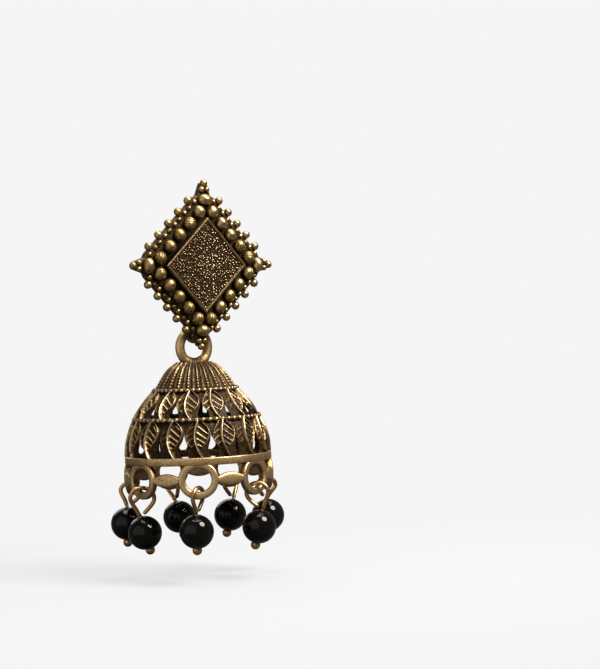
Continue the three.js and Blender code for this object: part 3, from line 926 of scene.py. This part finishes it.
def scattered_grains(x, z):
    """Height of grains strewn one to a cell: the highest of nine balls near each point.

    Each cell of the pitch holds one ball, moved off its centre and scaled by seeded draws.
    """
    cells = int(2 * panel_half_side / grain_pitch) + 5
    draws = np.random.default_rng(grain_seed).uniform(-1, 1, (cells, cells, 3))
    column, row = (np.floor((v + panel_half_side) / grain_pitch).astype(int) + 2 for v in (x, z))
    best = np.zeros_like(x)
    for i in (-1, 0, 1):
        for j in (-1, 0, 1):
            c, r = np.clip(column + i, 0, cells - 1), np.clip(row + j, 0, cells - 1)
            draw = draws[c, r]
            middle_x = (c - 1.5 + grain_shift * draw[..., 0]) * grain_pitch - panel_half_side
            middle_z = (r - 1.5 + grain_shift * draw[..., 1]) * grain_pitch - panel_half_side
            size = grain_radius * (1 + grain_size_change * draw[..., 2])
            best = np.maximum(best, ball_height(x, z, middle_x, middle_z, size))
    return best


def panel():
    """The framed block as a height field over a square, closed by its walls and its back."""
    reach = np.linspace(-panel_half_side, panel_half_side, panel_steps)
    x, z = np.meshgrid(reach, reach, indexing="ij")
    from_wall = panel_half_side - np.maximum(np.abs(x), np.abs(z))
    grains, star = scattered_grains(x, z), np.zeros_like(x)
    for ring, count in star_rings:
        for turn in turns(count, start=np.pi / 4):
            grain = ball_height(x, z, ring * np.cos(turn), ring * np.sin(turn), grain_radius)
            star = np.maximum(star, grain)
    inside = smooth_step(frame_width + 0.02, frame_width + 0.12, from_wall)
    frame_end = smooth_step(frame_width - frame_bevel, frame_width + 0.03, from_wall)
    frame_top = frame_rise * (1 - frame_end) - 0.1 * (1 - smooth_step(0, frame_bevel, from_wall))
    height = frame_top + inside * np.maximum(grains, star)
    # Painted light: the strewn grains are painted brighter towards the right, the key lamp's side
    painted_light_to_right = 0.6 + 0.4 * smooth_step(-4, 5, x + z)
    on_grain = inside * np.maximum(painted_light_to_right * smooth_step(0.04, 0.16, grains), star > least_grain)
    worn = np.where(from_wall < frame_width + 0.05, frame_wear, grain_wear * on_grain)
    front = grid((x + z) / math.sqrt(2), panel_face - height, (z - x) / math.sqrt(2))
    wall = np.concatenate([front[:, -1:], front[:, :1]], axis=1)
    wall[..., 1] = bed_face + 0.3
    closed = np.concatenate([front, wall], axis=1)
    return skin(on_stud(closed), np.concatenate([worn, np.full(wall.shape[:2], 0.1)], axis=1))


add_casting("stud_panel", [panel()], relief_cast, "stud")


# Bosses and granules
# Five round bosses stand along each side of the panel, with an oblate one at each corner. They
# are burnished on top; some keep file marks. Small granules crowd the plate's edge outside.
# Bosses and granules further right are painted brighter: painted light from that side.

end_boss_across = 1.45
end_boss_along = 1.1
end_boss_height = 1.3
file_marked_share = 0.55
file_mark_pitch = 0.42
file_mark_depth = 0.022
file_mark_patina = 0.35
dent_depth = 0.03
foot_wear = 0.14
crown_wear = 0.76
least_shade = 0.38
most_shade = 0.75
# Painted light: how much brighter the crowns of bosses and granules on the right are painted
right_side_painted_light = 0.25
boss_seed = 11

draws = np.random.default_rng(boss_seed)


def set_granule(radius, spot, y, squash=(1, 1, 1), rows=9, columns=14, marks=0.0, quarter=0):
    """A granule on the stud, worn on the side that faces -Y and dark at its foot.

    marks is the depth of file marks: a sine of the way across the granule, its phase wavering.
    """
    ball = granule(1.0, rows, columns)[..., [0, 2, 1]] * [1, -1, 1]
    forward = -ball[..., 1]
    slant = draws.uniform(0, np.pi)
    across = (ball[..., 0] * math.cos(slant) + ball[..., 2] * math.sin(slant)) * radius
    dent = np.sin(draws.uniform(0, 6) + 2.5 * ball[..., 0] + 2 * ball[..., 2])
    stripes = np.sin(2 * np.pi * across / file_mark_pitch + 1.6 * np.sin(2.3 * across + slant))
    size = radius * (1 + dent_depth * dent) + marks * stripes
    shape = ball * size[..., None] * np.array(squash)
    x, z = on_diagonal(quarter, shape[..., 2], shape[..., 0]).transpose(2, 0, 1)
    shape = grid(x + spot[0], shape[..., 1] + y, z + spot[1])
    # A random tone per granule, plus painted light that brightens granules further to the right
    shade = draws.uniform(least_shade, most_shade) + right_side_painted_light * smooth_step(-6, 6, spot[0])
    worn = foot_wear + shade * crown_wear * smooth_step(-0.3, 0.75, forward)
    if marks:
        worn = worn - file_mark_patina * (0.5 - 0.5 * stripes)
    return skin(on_stud(shape), worn)


def boss_row(quarter):
    """The bosses along one side of the panel."""
    made = []
    for along in boss_places:
        marks = file_mark_depth if draws.uniform() < file_marked_share else 0.0
        spot, y = on_side(quarter, boss_line, along), bed_face - boss_lift
        made.append(set_granule(boss_radius, spot, y, rows=30, columns=48, marks=marks))
    return made


def granule_row(quarter):
    """The granules along one side of the plate: a large one and two small ones to each boss."""
    made = []
    y = flange_face + edge_granule_radius / 4
    inner = granule_line - small_granule_inset
    for along in boss_places:
        spot = on_side(quarter, granule_line, along)
        made.append(set_granule(edge_granule_radius, spot, y, rows=12, columns=20))
        for aside in (-small_granule_spread, small_granule_spread):
            spot = on_side(quarter, inner, along + aside)
            made.append(set_granule(small_granule_radius, spot, flange_face))
    return made


def spike(quarter):
    """The oblate boss, the pair and the tip granule of one corner."""
    foot = boss_line * math.sqrt(2) + 0.7 * end_boss_along
    pair = spike_reach - 2 * spike_granule_radius
    squash = (end_boss_across, end_boss_height, end_boss_along)
    tip_y = flange_face + spike_granule_radius / 3
    made = [
        set_granule(1, on_diagonal(quarter, foot, 0), bed_face, squash, 22, 36, quarter=quarter),
        set_granule(1.25 * spike_granule_radius, on_diagonal(quarter, spike_reach, 0), tip_y),
    ]
    for side in (-1, 1):
        spot = on_diagonal(quarter, pair, side * spike_granule_radius)
        made.append(set_granule(spike_granule_radius, spot, flange_face))
    return made


burnished_cast = antique_brass(
    "burnished_cast_brass", "#c4a97e", "#80693d", "#2e1b08", 0.45, pit_mm=1.2, roughness=0.31
)
quarters = range(4)
bosses = [made for quarter in quarters for made in boss_row(quarter) + spike(quarter)]
granules = [made for quarter in quarters for made in granule_row(quarter)]
add_casting("stud_bosses", bosses, burnished_cast, "stud")
add_casting("stud_granules", granules, burnished_cast, "stud")


# Back of the stud
# The ring that carries the bell is cast into the back near the lower corner. Higher up a turned
# socket holds the ear post, soldered in.

hang_ring_radius = 2.15
hang_ring_wire = 0.65
hang_ring_sink = 1.15
hang_ring_drop = 11.47
socket_radius = 1.5
socket_height = 0.8
post_radius = 0.45
post_length = 11.0
clearance = 0.13
socket_wear = 0.45


def turned_along_y(profile, columns=40):
    """A profile of (radius, y) rows turned round the Y axis through the post."""
    profile = np.array(profile)
    turn = turns(columns)[None, :]
    radius, y = profile[:, :1], profile[:, 1:]
    return grid(radius * np.cos(turn), y, radius * np.sin(turn)) - [0, 0, plate_centre]


hang_points, hang_worn = ring_of_wire(hang_ring_radius, hang_ring_wire, "x")
hang_points = hang_points + [0, hang_ring_radius + hang_ring_wire - hang_ring_sink, -hang_ring_drop]
bore = post_radius + clearance
socket_profile = [
    (bore, 0.05),
    (bore, socket_height - 0.08),
    (bore + 0.08, socket_height),
    (socket_radius - 0.2, socket_height),
    (socket_radius - 0.05, socket_height - 0.06),
    (socket_radius + 0.02, socket_height - 0.2),
    (socket_radius + 0.1, 0.15),
    (socket_radius + 0.3, 0.03),
    (socket_radius + 0.3, -0.3),
    (bore, -0.3),
]
hang_ring = skin(on_stud(hang_points), hang_worn, ring=True)
socket = skin(on_stud(turned_along_y(socket_profile)), socket_wear, ring=True)
add_casting("stud_back_fittings", [hang_ring, socket], polished_cast, "stud")


# Ear post
# Drawn steel wire with a rounded end and a shallow groove that a push-on back clicks into.


def drawn_steel(name):
    """Bright drawn wire: fine lines round the post from polishing, faint in colour and bump."""
    material, tree, where = new_material(name)
    rings = add_node(tree, "ShaderNodeMapping", Vector=where, Scale=(0.05, 1.0, 0.05))
    lines = noise(tree, rings.outputs["Vector"], 0.25, 2.0)
    return surfaced(
        material,
        tree,
        Base_Color=ramp(tree, lines, (0.0, "#a9a6a0"), (1.0, "#d2cfc8")),
        Metallic=1.0,
        Roughness=mapped(tree, lines, onto=(0.18, 0.34)),
        Normal=bumped(tree, lines, 0.2, 0.01),
    )


groove = 0.8 * post_length

# Share of the post's radius, and where along the post, with a shift in radii
post_steps = (
    (0.7, clearance, 0),
    (1, clearance + 0.04, 0),
    (1, groove, -1),
    (0.85, groove, -0.5),
    (0.75, groove, 0),
    (0.85, groove, 0.5),
    (1, groove, 1),
    (1, post_length, -1),
    (0.86, post_length, -0.45),
    (0.5, post_length, -0.12),
    (0.15, post_length, 0),
)
post_profile = [(post_radius * k, y + post_radius * shift) for k, y, shift in post_steps]
post = skin(on_stud(turned_along_y(post_profile, 32)))
post_wire = drawn_steel("drawn_steel")
add_piece("ear_post_wire", [post], post_wire, "stud", ["ear_post"])


# Head pins
# Seven pins of warm brass wire. Each ends in a small round head under its bead; above the bead
# the wire is bent by pliers into a tall loop round its gallery ring, its cut end left beside
# the neck.

bead_radius = 3.0
bead_hole_radius = 0.5
pin_radius = 0.375
pin_head_radius = 0.85
pin_head_drop = 0.4
pin_neck_length = 0.35
pin_ride = 0.36
loop_steps = 80
shank_steps = 12
bead_centre = pin_neck_length + bead_radius
drop_top = gallery_centre + ring_tall - ring_band - pin_ride - pin_radius

# Each pin's loop length and half width in mm, and how its drop hangs in degrees: loop turned,
# drop swung sideways and outwards, bead bent sideways and outwards
drop_poses = [
    dict(zip(("loop", "half", "turn", "sway", "swing", "tip", "nod"), numbers))
    for numbers in (
        (4.45, 1.85, -28, -8, 0, 7, -12),
        (4.75, 2.0, 20, 13, 11, -12, -28),
        (3.5, 1.7, 0, 4, 2, 2, 0),
        (4.0, 1.8, -14, -12, 1, 24, -6),
        (4.0, 1.8, 10, -11, 1, 0, -5),
        (4.0, 1.85, 0, 0, 17, 0, -16),
        (5.0, 2.15, -24, -10, 5, 4, -26),
    )
]


def leaning(points, sideways, outwards):
    """Turns what hangs down by angles in degrees: to +X, then to -Y."""
    swung = turned(points, math.radians(sideways), 0, 2)
    return turned(swung, -math.radians(outwards), 1, 2)


def in_place(points, pose, index):
    """Carries points measured from a drop's top to where that drop hangs."""
    hung = leaning(points, pose["sway"], pose["swing"]) + [0, -gallery_radius, -drop_top]
    return in_gallery(hung, index)


def below_neck(points, pose):
    """Bends what lies below the loop's neck, measured from it, to its tip and nod."""
    return leaning(points, pose["tip"], pose["nod"]) - [0, 0, pose["loop"]]


def smooth_path(knots, count):
    """A centripetal Catmull-Rom curve through the knots, sampled count times."""
    knots = np.array(knots, float)
    padded = np.concatenate([2 * knots[:1] - knots[1:2], knots, 2 * knots[-1:] - knots[-2:-1]])
    gaps = np.sqrt(np.linalg.norm(np.diff(padded, axis=0), axis=1))
    times = np.concatenate([[0], np.cumsum(gaps)])
    t = np.linspace(times[1], times[-2], count)
    k = np.clip(np.searchsorted(times, t, side="right") - 1, 1, len(knots) - 1)
    p = [padded[k + j] for j in (-1, 0, 1, 2)]
    s = [times[k + j] for j in (-1, 0, 1, 2)]

    def blend(a, b, low, high):
        share = ((t - low) / (high - low))[:, None]
        return a * (1 - share) + b * share

    ab, bc, cd = (blend(p[i], p[i + 1], s[i], s[i + 1]) for i in range(3))
    return blend(blend(ab, bc, s[0], s[2]), blend(bc, cd, s[1], s[3]), s[1], s[2])


def wire_along(path, radius, side, columns=20):
    """A round wire along a path that lies across the side direction.

    The section's two axes are that side and its cross product with the path's direction; the
    ends are drawn in over three steps, so that they are softly rounded.
    """
    along = np.gradient(path, axis=0)
    along /= np.linalg.norm(along, axis=1, keepdims=True)
    other = np.cross(along, side)
    other /= np.linalg.norm(other, axis=1, keepdims=True)
    b = turns(columns)
    ease = np.ones(len(path))
    ease[:3] = ease[::-1][:3] = [0.55, 0.85, 0.97]
    ring = (np.cos(b)[:, None] * np.array(side))[None] + np.sin(b)[None, :, None] * other[:, None]
    return path[:, None] + ring * radius * ease[:, None, None]


def pin(pose, index):
    """The skins of one head pin: its bent loop, its straight shank and its head.

    The loop's knots stand at shares of its half width and of its length below its top.
    """
    across, long = pose["half"], pose["loop"]
    knots = [
        (0, 0, -long - clearance),
        (0, -0.25 * across, -0.86 * long),
        (0, -across, -0.4 * long),
        (0, -0.75 * across, -0.11 * long),
        (0, 0, 0),
        (0, 0.75 * across, -0.11 * long),
        (0, across, -0.4 * long),
        (0, 1.75 * pin_radius, -0.92 * long),
    ]
    bent = wire_along(smooth_path(knots, loop_steps), pin_radius, (1, 0, 0))
    bent = turned(bent, math.radians(pose["turn"]), 0, 1)
    head_at = bead_centre + bead_radius + pin_head_drop
    shank_path = np.linspace([0, 0, pin_radius], [0, 0, -head_at], shank_steps)
    shank = wire_along(shank_path, pin_radius, (1, 0, 0))
    head = granule(pin_head_radius, rows=16, columns=28) - [0, 0, head_at]
    place = [bent, below_neck(shank, pose), below_neck(head, pose)]
    return [skin(in_place(points, pose, index)) for points in place]


def warm_wire(name):
    """Bright drawn brass wire with a coppery tarnish.

    The tarnish is a slow noise that goes from copper brown to gold, and a finer one roughens
    the wire in specks.
    """
    material, tree, where = new_material(name)
    tarnish = noise(tree, where, 1.6, 3.0)
    specks = noise(tree, where, 0.3, 3.0)
    return surfaced(
        material,
        tree,
        Base_Color=ramp(tree, tarnish, (0.3, "#8f6436"), (0.68, "#c6a06a")),
        Metallic=1.0,
        Roughness=mapped(tree, specks, onto=(0.24, 0.42)),
        Normal=bumped(tree, specks, 0.2, 0.02),
    )


pin_wire = warm_wire("warm_brass_wire")
for index, pose in enumerate(drop_poses):
    node = f"head_pin_{index + 1}"
    add_piece(f"drop_pin_{index + 1}", pin(pose, index), pin_wire, "bell", [node])


# Beads
# Seven round beads of polished black glass, drilled through and countersunk a little at the
# foot for the pin's head.

bead_seat_radius = 0.85
bead_seat_depth = 0.45
bead_hole_lip = 0.04
bead_rows = 44
bead_columns = 64


def drilled_bead():
    """A ball's profile from its seat up to its hole, then down the hole, turned round Z."""
    foot, top = math.asin(bead_seat_radius / bead_radius), math.asin(bead_hole_radius / bead_radius)
    up = np.linspace(-np.pi / 2 + foot + 0.02, np.pi / 2 - top - 0.03, bead_rows)
    radius, height = bead_radius * np.cos(up), bead_radius * np.sin(up)
    hole = [bead_hole_radius + bead_hole_lip, bead_hole_radius, bead_hole_radius]
    inward = [height[-1] + 0.01, height[-1] - 2 * bead_hole_lip, height[0] + bead_seat_depth]
    radius = np.concatenate([radius, hole])[:, None]
    height = np.concatenate([height, inward])[:, None]
    turn = turns(bead_columns)[None, :]
    return grid(radius * np.cos(turn), radius * np.sin(turn), height) - [0, 0, bead_centre]


def black_glass(name):
    """Polished black glass: near black, with the faintest swirl and hair-fine wear in its gloss."""
    material, tree, where = new_material(name)
    swirl = noise(tree, where, 3.0, 2.0, Distortion=1.5)
    wear = noise(tree, where, 0.4, 4.0)
    return surfaced(
        material,
        tree,
        Base_Color=ramp(tree, swirl, (0.0, "#040302"), (1.0, "#0c0906")),
        Roughness=mapped(tree, wear, onto=(0.04, 0.13)),
        IOR=1.52,
        Specular_IOR_Level=0.17,
    )


bead_glass = black_glass("polished_black_glass")
bead_points = drilled_bead()
for index, pose in enumerate(drop_poses):
    bead = skin(in_place(below_neck(bead_points, pose), pose, index), ring=True)
    node = f"bead_{index + 1}"
    add_piece(f"drop_bead_{index + 1}", [bead], bead_glass, "bell", [node])
